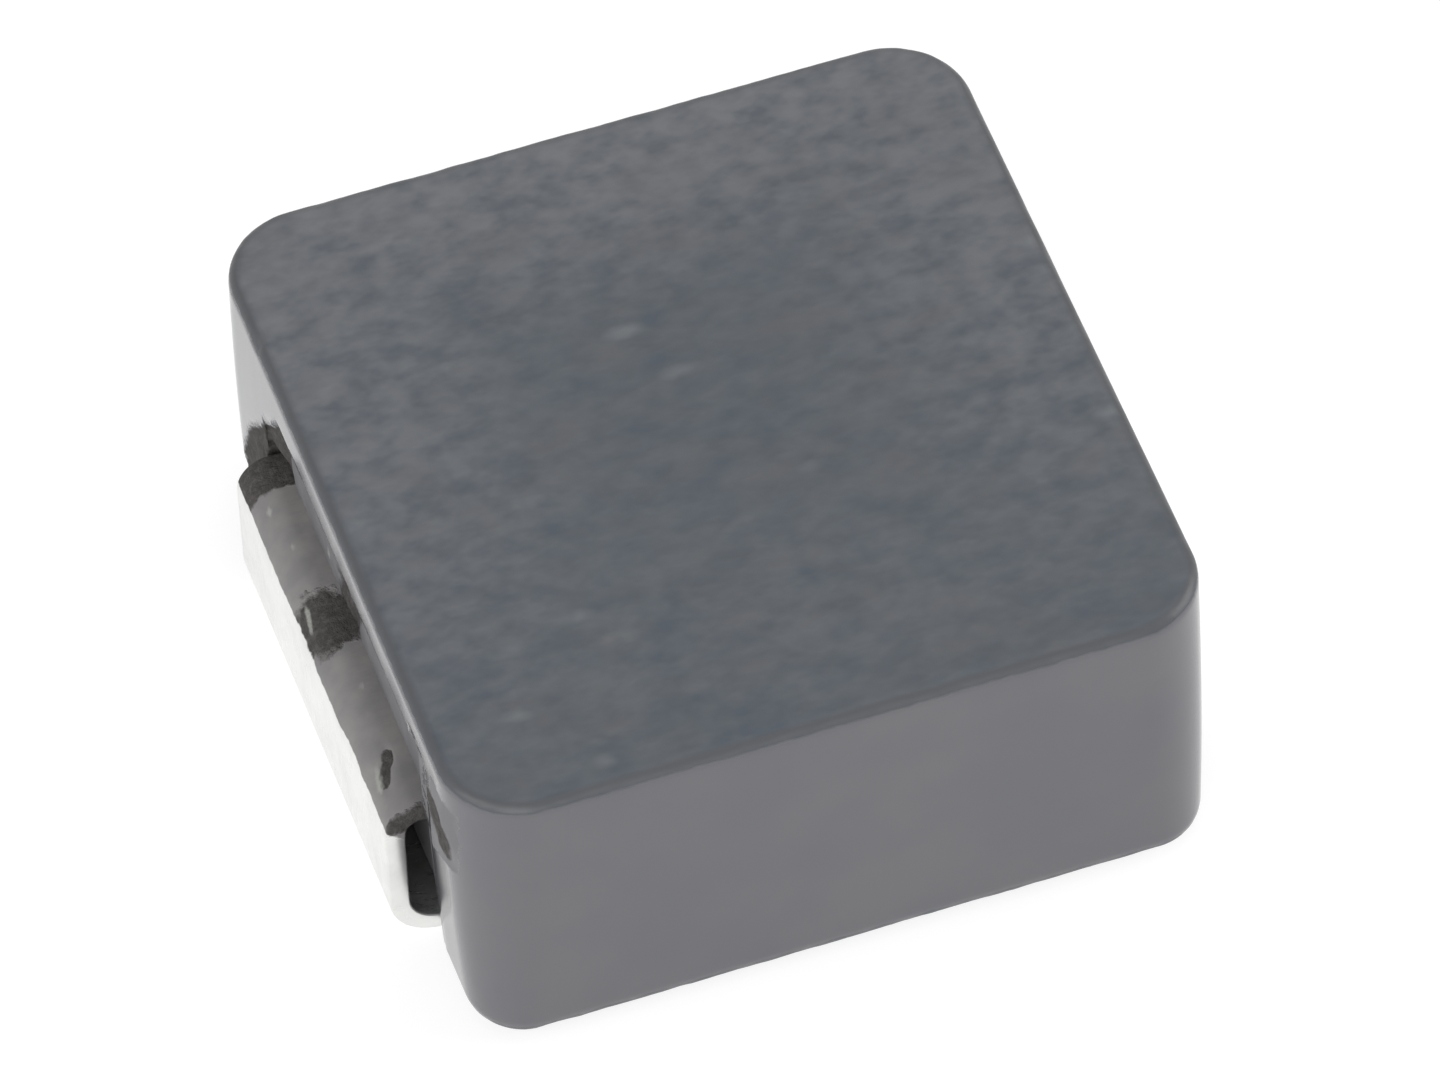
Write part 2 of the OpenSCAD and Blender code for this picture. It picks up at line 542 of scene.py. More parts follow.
@dataclass(frozen=True)
class GreyCoat:
    """Grey paint on pressed iron powder: glossy on the sides, matte on the pressed faces."""

    side: Triple = (0.105, 0.105, 0.118)
    pale_side: Triple = (0.114, 0.113, 0.123)
    top: Triple = (0.054, 0.067, 0.082)
    dark_top: Triple = (0.036, 0.05, 0.067)
    pale_top: Triple = (0.08, 0.09, 0.103)
    warm_top: Triple = (0.075, 0.075, 0.08)
    # Painted light: the paler colour of the top towards its outer edges, strongest at the far edge.
    lit_border_top: Triple = (0.138, 0.139, 0.149)
    # Painted shade: the rims are darker, standing in for the dark line that their reflection shows.
    rim: Triple = (0.062, 0.064, 0.07)
    speck: Triple = (0.2, 0.21, 0.215)
    side_gloss: float = 0.11
    reflectance: float = 1.47
    top_gloss: float = 0.42
    pressed_border: Border = Border(0.12, 0.1, 0.34, 0.09)
    side_clouds: Pattern = Pattern(1.1)
    side_span: Span = (0.35, 0.65)
    mottle: Pattern = Pattern(0.22, 2.0, 0.55, (0.8, 1.15, 1.0))
    mottle_span: Span = (0.3, 0.7)
    mottle_depth: float = 0.012
    calm_edge: Span = (0.0, 0.4)
    calm_share: Span = (0.6, 1.0)
    warm_clouds: Pattern = Pattern(0.45, 3.0, 0.6, (0.7, 1.1, 1.0))
    warm_span: Span = (0.45, 0.7)
    warm_share: Span = (0.0, 0.6)
    lit_border_span: Span = (0.3, 0.65)
    lit_border_share: Span = (0.3, 0.8)
    specks: Pattern = Pattern(0.42, scale=(0.55, 1.3, 1.0))
    speck_span: Span = (0.3, 0.05)
    speck_share: float = 0.4
    speck_clouds: Pattern = Pattern(0.9, 3.0, 0.55)
    speck_cloud_span: Span = (0.55, 0.65)
    grime: Grime = Grime(
        spray=(0.13, 0.128, 0.137), pale_spray=(0.162, 0.159, 0.166), spray_border=Border(0.1, 0.12),
    )

    def material(self) -> bpy.types.Material:
        """Builds the material, which reads the block's own masks.

        Returns:
            The finished material.
        """
        sheet = NodeSheet("grey_coat")
        pressed = sheet.ragged("face", self.pressed_border)
        mottle = sheet.noise(self.mottle)
        paint = sheet.mix(pressed, self._side(sheet), self._top(sheet, mottle))
        gloss = sheet.blend(pressed, self.side_gloss, self.top_gloss)
        relief = sheet.bump(sheet.times(mottle, pressed), self.mottle_depth)
        self.grime.lay(sheet, self.grime.cover(sheet), paint, gloss, relief)
        sheet.feed("IOR", self.reflectance)
        return sheet.material

    def _side(self, sheet: NodeSheet) -> Socket:
        """Colour of the sides, which is nearly even."""
        clouds = sheet.fit(sheet.noise(self.side_clouds), self.side_span)
        return sheet.mix(clouds, self.side, self.pale_side)

    def _top(self, sheet: NodeSheet, mottle: Socket) -> Socket:
        """Colour of the pressed faces: calm in the middle, mottled at the edge, and painted paler towards
        the outer edges, most at the far one, as painted light.

        Args:
            sheet: Nodes of the material.
            mottle: Fine noise.

        Returns:
            The socket with the mottled colour.
        """
        edge = sheet.attribute("edge")
        mottled = sheet.mix(sheet.fit(mottle, self.mottle_span), self.dark_top, self.pale_top)
        paint = sheet.mix(sheet.fit(edge, self.calm_edge, self.calm_share), self.top, mottled)
        warm = sheet.fit(sheet.noise(self.warm_clouds), self.warm_span, self.warm_share)
        paint = sheet.mix(warm, paint, self.warm_top)
        # Painted light: the top grows paler towards its outer edges, most at the far one.
        lit_edge = sheet.times(edge, sheet.fit(mottle, self.lit_border_span, self.lit_border_share))
        paint = sheet.mix(lit_edge, paint, self.lit_border_top)
        clouds = sheet.fit(sheet.noise(self.speck_clouds), self.speck_cloud_span)
        rare = sheet.times(sheet.fit(sheet.specks(self.specks), self.speck_span), clouds)
        paint = sheet.mix(sheet.times(rare, self.speck_share), paint, self.speck)
        # Painted shade: the rims take a darker colour.
        return sheet.mix(sheet.attribute("rim"), paint, self.rim)


@dataclass(frozen=True)
class TinnedStrip:
    """Matte tin on rolled copper strip, with grime on the strip's root."""

    tin: Triple = (0.82, 0.82, 0.8)
    dull_tin: Triple = (0.69, 0.69, 0.68)
    stains: Pattern = Pattern(0.5, 4.0, 0.65)
    stain_span: Span = (0.45, 0.8)
    stain_share: Span = (0.0, 0.8)
    rolling: Pattern = Pattern(0.35, 3.0, 0.6, (1.0, 12.0, 1.0))
    rolling_span: Span = (0.3, 0.7)
    rolling_depth: float = 0.0025
    gloss: Span = (0.25, 0.37)
    grime: Grime = Grime()

    def material(self) -> bpy.types.Material:
        """Builds the material, which reads the strip's own masks.

        Returns:
            The finished material.
        """
        sheet = NodeSheet("tinned_strip")
        found = self.grime.cover(sheet)
        # Rubbed powder and painted flake glints lie only where the spray does.
        worn, glinting_flake = (sheet.times(mask, found.sprayed) for mask in (found.worn, found.glinting_flake))
        stains = sheet.fit(sheet.noise(self.stains), self.stain_span, self.stain_share)
        tin = sheet.mix(stains, self.tin, self.dull_tin)
        rolled = sheet.noise(self.rolling)
        gloss = sheet.fit(rolled, self.rolling_span, self.gloss)
        relief = sheet.bump(rolled, self.rolling_depth)
        self.grime.lay(sheet, Cover(found.sprayed, worn, glinting_flake), tin, gloss, relief)
        sheet.feed("Metallic", sheet.fit(found.sprayed, (0.0, 1.0), (1.0, 0.0)))
        return sheet.material


@dataclass(frozen=True)
class EnamelledWire:
    """Flat copper wire under clear brown enamel."""

    copper: Triple = (0.58, 0.24, 0.11)
    dark_copper: Triple = (0.36, 0.13, 0.06)
    drawing: Pattern = Pattern(0.3, 3.0, 0.6)
    drawing_depth: float = 0.003
    dark_span: Span = (0.35, 0.7)
    gloss_span: Span = (0.3, 0.7)
    gloss: Span = (0.23, 0.33)

    def material(self) -> bpy.types.Material:
        """Builds the material.

        Returns:
            The finished material.
        """
        sheet = NodeSheet("copper_wire")
        drawn = sheet.noise(self.drawing)
        sheet.feed("Base Color", sheet.mix(sheet.fit(drawn, self.dark_span), self.copper, self.dark_copper))
        sheet.feed("Roughness", sheet.fit(drawn, self.gloss_span, self.gloss))
        sheet.feed("Normal", sheet.bump(drawn, self.drawing_depth))
        sheet.feed("Metallic", 1.0)
        return sheet.material


# ---------------------------------------------------------------- the block


PIT_SPAN = (0.4, 0.7)


@dataclass(frozen=True)
class Mark:
    """A round or long mark beside a terminal, which fades out from its middle line."""

    start: Triple
    end: Triple
    reach: float
    depth: float = 0.0

    def weight(self, p: Vector) -> float:
        """How much of the mark a point has.

        Args:
            p: Point in millimetres.

        Returns:
            1 on the mark's middle line, 0.5 on its border and 0 at twice its reach.
        """
        start, end = Vector(self.start), Vector(self.end)
        share = (p - start).dot(end - start) / (end - start).length_squared
        nearest = start.lerp(end, clamp(share))
        return max(0.0, 1 - (p - nearest).length / (2 * self.reach))


@dataclass(frozen=True)
class Marks:
    """The worn spots, and the flakes whose glints are painted, beside one terminal."""

    worn: tuple[Mark, ...]
    flake_glints: tuple[Mark, ...]

    def at(self, p: Vector) -> Triple:
        """The marks at a point.

        Args:
            p: Point in millimetres.

        Returns:
            The strength of wear, the strength of the painted flake glints and the wear's depth in
            millimetres.
        """
        worn = [(mark.weight(p), mark.depth) for mark in self.worn]
        return (
            max(weight for weight, _ in worn),
            max(mark.weight(p) for mark in self.flake_glints),
            max(depth * ramp(*PIT_SPAN, weight) for weight, depth in worn),
        )


MARKS = {
    Side.LEFT: Marks(
        worn=(
            Mark((-3.11, 0.1, 2.05), (-3.4, 0.17, 1.56), 0.3, 0.03),
            Mark((-3.29, -1.38, 1.61), (-3.4, -1.6, 1.57), 0.05, 0.03),
            Mark((-3.2, -2.05, 1.54), (-3.42, -2.05, 1.46), 0.12),
            # Painted reflection: a dark patch on the glossy coat beyond the channel's near end, where the
            # wall mirrors the strip's dark root.
            Mark((-3.25, -2.5, 2.24), (-3.22, -2.72, 2.1), 0.17),
        ),
        # Painted highlights: the glints of small flakes beside the left terminal.
        flake_glints=(
            Mark((-3.44, 0.38, 1.54), (-3.47, 0.2, 1.5), 0.026),
            Mark((-3.41, -1.46, 1.56), (-3.45, -1.68, 1.52), 0.024),
            Mark((-3.38, 1.5, 1.57), (-3.4, 1.46, 1.57), 0.024),
            Mark((-3.34, 1.05, 1.59), (-3.33, 0.98, 1.6), 0.016),
            Mark((-3.12, 0.7, 1.75), (-3.12, 0.66, 1.84), 0.028),
            Mark((-3.27, -0.62, 1.62), (-3.29, -0.66, 1.62), 0.016),
        ),
    ),
    Side.RIGHT: Marks(
        worn=(
            Mark((3.11, -0.95, 1.95), (3.38, -0.85, 1.58), 0.2, 0.03),
            Mark((3.3, 1.3, 1.61), (3.42, 1.5, 1.55), 0.055, 0.02),
        ),
        # Painted highlights: the glints of small flakes beside the right terminal.
        flake_glints=(
            Mark((3.45, -0.6, 1.53), (3.48, -0.4, 1.49), 0.02),
            Mark((3.3, 0.4, 1.62), (3.32, 0.34, 1.61), 0.018),
        ),
    ),
}


NICKS = (
    Mark((-3.22, 2.16, 2.95), (-3.22, 2.06, 2.96), 0.04, 0.02),
    Mark((-3.14, 2.92, 2.36), (-3.14, 2.92, 2.28), 0.07, 0.03),
)
NICK_SPAN = (0.2, 0.8)


@dataclass(frozen=True)
class CoatWeb:
    """Web of coat that closes the far upper corner of the left channel, down to a ragged edge.

    The edge is given by the places (y, z) that it runs through.
    """

    edge: tuple[Span, ...] = ((1.43, 2.55), (2.05, 1.96), (2.55, 1.37), (3.0, 0.46))
    low_z: float = 0.44
    fade: Span = (-0.1, 0.04)
    teeth: Wave = Wave(0.05, 0.2)
    filling: float = 0.7
    filling_y: Span = (1.55, 1.95)
    filling_z: Span = (1.64, 1.76)

    def room_below(self, p: Vector) -> float:
        """How far below the web's edge a point lies.

        Args:
            p: Point in millimetres.

        Returns:
            The distance in millimetres, which is negative on the web.
        """
        (y0, z0), (y1, z1) = self.edge[:2]
        for start, end in zip(self.edge, self.edge[1:]):
            if p.y > start[0]:
                (y0, z0), (y1, z1) = start, end
        edge_z = z0 + (z1 - z0) * (p.y - y0) / (y1 - y0)
        return (edge_z - p.z) * (y1 - y0) / math.hypot(y1 - y0, z1 - z0)

    def openness(self, p: Vector) -> float:
        """How open a channel is.

        Args:
            p: Point of the plain box, in millimetres.

        Returns:
            0 under the web and 1 where the channel has its full depth.
        """
        if p.x > 0 or p.y < 0 or p.z < self.low_z:
            return 1.0
        filled = self.filling * ramp(*self.filling_y, p.y) * ramp(*self.filling_z, p.z)
        return ramp(*self.fade, self.room_below(p) + self.teeth.at(p)) * (1 - filled)


@dataclass(frozen=True)
class FarWear:
    """Rubbed powder at the left channel's far end, below the web of coat."""

    near_y: float = 1.64
    low_z: float = 0.22
    fade: float = 0.24
    depth: float = 0.03
    web: CoatWeb = CoatWeb()

    def weight(self, p: Vector) -> float:
        """Strength of the wear at a point: 0.5 on its border."""
        return faded(min(self.web.room_below(p), p.y - self.near_y, p.z - self.low_z), self.fade)


@dataclass(frozen=True)
class NearSpray:
    """Overspray on the block's left side beside the channel's near end.

    Two clean streaks cross it, each given by its place along the side and its lean.
    """

    inner_y: float = -1.98
    outer_y: float = -2.98
    high_z: float = 2.66
    low_z: float = 1.42
    slope: float = 0.5
    fade: float = 0.3
    teeth: Wave = Wave(0.06, 0.5, 2)
    streaks: tuple[Span, ...] = ((-2.1, 0.19), (-2.33, 0.16))
    streak_z: float = 1.9
    streak_r: float = 0.055

    def weight(self, p: Vector) -> float:
        """Strength of the overspray.

        Args:
            p: Point in millimetres.

        Returns:
            1 well inside, 0.5 on the border and 0 outside.
        """
        if p.x > 0:
            return 0.0
        rise = self.low_z - self.slope * (p.y - self.inner_y)
        room = min(self.inner_y - p.y, p.y - self.outer_y, self.high_z - p.z, p.z - rise)
        room += self.teeth.at(p)
        for y, lean in self.streaks:
            room = min(room, abs(p.y - y + lean * (p.z - self.streak_z)) - self.streak_r)
        return faded(room, self.fade)


@dataclass(frozen=True)
class Shelf:
    """Shallow shelf beside each channel's near end, with a fine groove along its outer edge.

    Its methods take the distance beyond the channel's end and the height, in millimetres.
    """

    width: float = 0.27
    depth: float = 0.045
    lower_depth: float = 0.07
    depth_z: Span = (1.45, 1.65)
    top: float = 2.62
    step: float = 0.03
    start: float = -0.06
    groove_d: float = 0.012
    groove_r: float = 0.045
    groove_z: float = 2.45

    def floor(self, beyond: float, z: float) -> float:
        """Depth of the shelf's floor at a place, in millimetres.

        Args:
            beyond: Distance beyond the channel's end.
            z: Height.

        Returns:
            The depth, which is 0 outside the shelf.
        """
        inside = ramp(self.width + self.step, self.width, beyond) * ramp(self.start, 0.0, beyond)
        inside *= ramp(self.top, self.top - self.step, z)
        return inside * (self.lower_depth + (self.depth - self.lower_depth) * ramp(*self.depth_z, z))

    def groove(self, beyond: float, z: float) -> float:
        """Depth of the groove at a place, in millimetres."""
        share = 1 - min(abs(beyond - self.width - self.groove_r) / self.groove_r, 1.0)
        return self.groove_d * share * ramp(self.top, self.groove_z, z)


@dataclass
class MouldedBlock:
    """The pressed block: a rounded box, with a channel for a terminal in each side."""

    corner_r: float = 0.72
    lower_corner_r: float = 0.5
    draft: float = 0.065
    draft_power: float = 2.5
    top_rim_r: float = 0.12
    bottom_rim_r: float = 0.2
    channel_w: float = 4.06
    channel_d: float = 0.12
    channel_r: float = 0.15
    lip_h: float = 0.44
    roof_z: float = 0.18
    roof_share: float = 0.3
    pocket_x: float = 1.75
    border_r: float = 0.03
    shelf: Shelf = Shelf()
    web: CoatWeb = CoatWeb()
    far_wear: FarWear = FarWear()
    near_spray: NearSpray = NearSpray()
    marked_x: float = 2.4
    spray_depth: float = 0.09
    grid: float = 0.05
    rim_cuts: int = 3
    top_wave: Wave = Wave(0.004, 0.3)
    side_wave: Wave = Wave(0.002, 0.45, 2)
    side_draw: float = 0.12
    rim_wave: Wave = Wave(0.006, 0.22)
    powder_wave: Wave = Wave(0.022, 0.2, 4)
    powder_span: Span = (0.4, 0.6)
    pressed_span: Span = (0.5, 0.95)
    rim_start: Span = (0.3, 0.6)
    rim_end: Span = (0.995, 0.9)
    edge_span: Span = (2.6, 0.2)
    masks: tuple[str, ...] = ("face", "rim", "edge", "dust", "wear", "flake_glint", "sunk")
    low: Vector = field(default_factory=lambda: cad_box("moulded_body")[0])
    high: Vector = field(default_factory=lambda: cad_box("moulded_body")[1])

    def build(self) -> bpy.types.Object:
        """Builds the block.

        Returns:
            The piece, with its masks in the mesh.
        """
        bm = bmesh.new()
        for name in self.masks:
            bm.verts.layers.float.new(name)
        size = self.high - self.low
        middle = (self.high + self.low) / 2
        bmesh.ops.create_cube(bm, size=1.0, matrix=Matrix.Translation(middle) @ Matrix.Diagonal((*size, 1)))
        self._cut_grid(bm)
        recessed = self._open_channels(bm)
        self._round(bm, recessed)
        self._cut_channel_walls(bm, recessed)
        close_up(bm)
        self._relieve(bm)
        return finished_piece(bm, "coated_block")

    def dress(self, piece: bpy.types.Object) -> None:
        """Gives the block its finish and hides the CAD node that it stands in for.

        Args:
            piece: The block.
        """
        piece.data.materials.append(GreyCoat().material())
        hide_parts("moulded_body")

    @property
    def window_z(self) -> float:
        """Height of the channel's upper edge."""
        return self.high.z - self.lip_h

    @property
    def middle_z(self) -> float:
        """Height half way up the block."""
        return (self.low.z + self.high.z) / 2

    def _depth_share(self, z: float) -> float:
        """How far down the block a height lies: 0 at the top and 1 at the bottom."""
        return (self.high.z - z) / (self.high.z - self.low.z)

    def _cut_grid(self, bm: BMesh) -> None:
        """Cuts the plain box into a fine grid, with lines on every border.

        Args:
            bm: The plain box.
        """
        channel_y, border, shelf = self.channel_w / 2, self.border_r, self.shelf
        rims = [self.top_rim_r * k / self.rim_cuts for k in range(1, self.rim_cuts + 1)]
        turns = [self.corner_r, *rims, self.bottom_rim_r]
        across = [self.pocket_x, *(self.high.x - r for r in turns)]
        along = [channel_y, channel_y + border / 2, channel_y + border, *(self.high.y - r for r in turns)]
        shelf_lines = [-channel_y - shelf.width - shelf.step * k for k in (0, 1, 2)]
        upright = [
            self.window_z, self.window_z + border / 2, self.window_z + border,
            self.low.z + self.bottom_rim_r, shelf.top, shelf.top - shelf.step,
            *(self.high.z - r for r in rims),
        ]
        borders = {
            Axis.X: [s * x for x in across for s in (-1, 1)],
            Axis.Y: [s * y for y in along for s in (-1, 1)] + shelf_lines,
            Axis.Z: upright,
        }
        for index, axis in enumerate(Axis):
            cut(bm, axis, stations(self.low[index], self.high[index], self.grid, borders[axis]))

    def _open_channels(self, bm: BMesh) -> set[BMVert]:
        """Lifts the skin of both channels off the box, still in its old place.

        Args:
            bm: The plain box, cut into a grid.

        Returns:
            The corners of the lifted skin.
        """
        recessed: set[BMVert] = set()
        for side in Side:
            skin = [f for f in bm.faces if self._in_channel(f, side)]
            lifted = bmesh.ops.extrude_face_region(bm, geom=skin)["geom"]
            bmesh.ops.delete(bm, geom=[f for f in skin if f.is_valid], context="FACES")
            recessed |= {v for v in lifted if isinstance(v, BMVert)}
        return recessed

    def _in_channel(self, face: BMFace, side: Side) -> bool:
        """Tells whether a face of the plain box belongs to a side's channel.

        Args:
            face: Face of the box.
            side: Side of the channel.

        Returns:
            True for the skin of the side and of the bottom that the terminal covers.
        """
        centre, normal = face.calc_center_median(), face.normal
        on_side = normal.x * side.value > SQUARE_ON and centre.z < self.window_z
        below = normal.z < -SQUARE_ON and centre.x * side.value > self.pocket_x
        return abs(centre.y) <= self.channel_w / 2 and (on_side or below)

    def _round(self, bm: BMesh, recessed: set[BMVert]) -> None:
        """Moves the box's skin onto the rounded form, and the lifted skin into its channel.

        Args:
            bm: The plain box with its lifted skin.
            recessed: The corners of the lifted skin.
        """
        sunk = bm.verts.layers.float["sunk"]
        for v in bm.verts:
            boxed = self._round_channel_corner(v.co)
            move = self._sink(boxed) if v in recessed else self._soften(boxed)
            v.co = self._rounded(boxed) + move
            v[sunk] = math.hypot(move.x, self.roof_share * move.z)

    def _lean(self, z: float) -> float:
        """How far the block's sides stand back at a height, which grows towards the bottom."""
        return self.draft * max(self._depth_share(z), 0.0) ** self.draft_power

    def _rounded(self, p: Vector) -> Vector:
        """Place on the rounded block of a point on the plain box.

        Args:
            p: Point on the box.

        Returns:
            The matching point, with rims and upright corners rounded.
        """
        upper = p.z > self.middle_z
        edge = self.top_rim_r if upper else self.bottom_rim_r
        lean = self._lean(p.z)
        r = self.corner_r + (self.lower_corner_r - self.corner_r) * self._depth_share(p.z)
        wide = self.high.x - lean
        across = abs(p.x) - lean * max(0.0, (abs(p.x) - self.pocket_x) / (self.high.x - self.pocket_x))
        drop = self.high.z - p.z if upper else p.z - self.low.z
        inset = min(wide - across, self.high.y - abs(p.y))
        if inset < edge and drop < edge:
            turn = math.pi / 4 * (1 - drop / edge + inset / edge)
            inset, drop = edge - edge * math.cos(turn), edge - edge * math.sin(turn)
        z = self.high.z - drop if upper else self.low.z + drop
        u = (across - (wide - r)) / r
        w = (abs(p.y) - (self.high.y - r)) / r
        if u > 0 and w > 0:
            reach = (r - inset) / math.hypot(u, w)
            x, y = wide - r + u * reach, self.high.y - r + w * reach
        elif wide - across < self.high.y - abs(p.y):
            x, y = wide - inset, abs(p.y)
        else:
            x, y = across, self.high.y - inset
        return Vector((math.copysign(x, p.x), math.copysign(y, p.y), z))

    def _on_side(self, p: Vector) -> bool:
        """Whether a point of the plain box lies on its left or right side."""
        return self.high.x - abs(p.x) < ON_PLANE

    def _sink(self, p: Vector) -> Vector:
        """How far the channel's skin sinks at a point of the plain box.

        Args:
            p: Point on the box.

        Returns:
            The move towards the middle and up, fading out at the channel's two ends.
        """
        turn_z = self.low.z + self.bottom_rim_r
        turn_x = self.high.x - self.bottom_rim_r
        lift = self.roof_z - self.low.z
        if not self._on_side(p):
            across = clamp((abs(p.x) - self.pocket_x) / (turn_x - self.pocket_x))
            return Vector((-math.copysign(self.channel_d * across, p.x), 0.0, lift))
        openness = self.web.openness(p)
        up = clamp((self.window_z - p.z) / (self.window_z - turn_z))
        return Vector((-math.copysign(self.channel_d * openness, p.x), 0.0, lift * up * openness))

    def _soften(self, p: Vector) -> Vector:
        """Move of the outer skin beside a channel: its round border, the shelf and the groove.

        Args:
            p: Point on the plain box.

        Returns:
            The move towards the middle.
        """
        if not self._on_side(p):
            return Vector()
        r = self.channel_r
        out_y = abs(p.y) - (self.channel_w / 2 - r)
        out_z = p.z - (self.window_z - r)
        gap = math.hypot(max(out_y, 0.0), max(out_z, 0.0)) - r
        slope = clamp(1 - gap / self.border_r)
        depth = self.border_r * (1 - math.sqrt(1 - slope * slope)) * self.web.openness(p)
        if p.y < 0:
            beyond = -self.channel_w / 2 - p.y
            depth = abs(max(depth, self.shelf.floor(beyond, p.z)) - self.shelf.groove(beyond, p.z))
        return Vector((-math.copysign(depth, p.x), 0.0, 0.0))

    def _round_channel_corner(self, p: Vector) -> Vector:
        """Bends the plain box's grid round a channel's upper corner.

        Args:
            p: Point on the box.

        Returns:
            The point, moved along the box's side if it lies near such a corner.
        """
        r = self.channel_r
        u = (abs(p.y) - (self.channel_w / 2 - r)) / r
        w = (p.z - (self.window_z - r)) / r
        reach = max(u, w)
        if not self._on_side(p) or min(u, w) <= 0 or reach >= 2:
            return p.copy()
        pull = reach / math.hypot(u, w)
        pull += (1 - pull) * max(reach - 1, 0.0)
        y = self.channel_w / 2 - r + u * pull * r
        return Vector((p.x, math.copysign(y, p.y), self.window_z - r + w * pull * r))

    @staticmethod
    def _cut_channel_walls(bm: BMesh, recessed: set[BMVert]) -> None:
        """Cuts the channels' narrow walls lengthwise, which keeps their edges crisp."""
        walls = [e for e in bm.edges if (e.verts[0] in recessed) != (e.verts[1] in recessed)]
        bmesh.ops.subdivide_edges(bm, edges=walls, cuts=2, use_grid_fill=True)

    def _relieve(self, bm: BMesh) -> None:
        """Gives the skin its fine relief, and writes the masks that the finish reads.

        Args:
            bm: The rounded block.
        """
        bm.normal_update()
        face, rim, edge, dust, wear, flake_glint, sunk = (bm.verts.layers.float[name] for name in self.masks)
        moves = []
        for v in bm.verts:
            flat = abs(v.normal.z)
            inset = min(self.high.x - abs(v.co.x), self.high.y - abs(v.co.y))
            sprayed = self.near_spray.weight(v.co) * (1 - flat)
            worn, glinting_flake, pit = self._marks(v.co)
            v[face], v[wear], v[flake_glint] = flat, worn, glinting_flake
            v[rim] = ramp(*self.rim_start, flat) * ramp(*self.rim_end, flat)
            # The edge mask marks the top's outer edges, most at the far one, for mottling and for painted
            # light.
            v[edge] = ramp(*self.edge_span, inset) * (1 + v.co.y / self.high.y) / 2
            v[dust] = max(ramp(0.0, self.spray_depth, v[sunk]), sprayed)
            nick = max(mark.depth * ramp(*NICK_SPAN, mark.weight(v.co)) for mark in NICKS)
            height = self._waves(v, flat, v[rim]) - pit - nick
            height += ramp(*self.powder_span, worn) * self.powder_wave.at(v.co)
            moves.append(v.normal * height)
        shift(bm, moves)

    def _marks(self, p: Vector) -> Triple:
        """Finds the marks at a point of the skin.

        Args:
            p: Point in millimetres.

        Returns:
            The strength of wear, the strength of the painted flake glints and the wear's depth in
            millimetres.
        """
        if abs(p.x) < self.marked_x or p.z > self.shelf.top:
            return 0.0, 0.0, 0.0
        worn, glinting_flake, pit = MARKS[Side.LEFT if p.x < 0 else Side.RIGHT].at(p)
        if p.x < 0:
            far = self.far_wear.weight(p)
            worn, pit = max(worn, far), max(pit, self.far_wear.depth * ramp(*PIT_SPAN, far))
        return worn, glinting_flake, pit

    def _waves(self, v: BMVert, flat: float, rim: float) -> float:
        """Height of the coat's slight waves: fine on the pressed faces, upright on the sides.

        Args:
            v: Corner of the mesh.
            flat: How level the skin lies, from 0 to 1.
            rim: How far the corner lies on the top or bottom rim, from 0 to 1.

        Returns:
            The height in millimetres.
        """
        pressed = ramp(*self.pressed_span, flat)
        drawn = Vector((v.co.x, v.co.y, v.co.z * self.side_draw))
        height = pressed * self.top_wave.at(v.co) + (1 - pressed) * self.side_wave.at(drawn)
        return height + rim * self.rim_wave.at(v.co)


# ---------------------------------------------------------------- the terminals


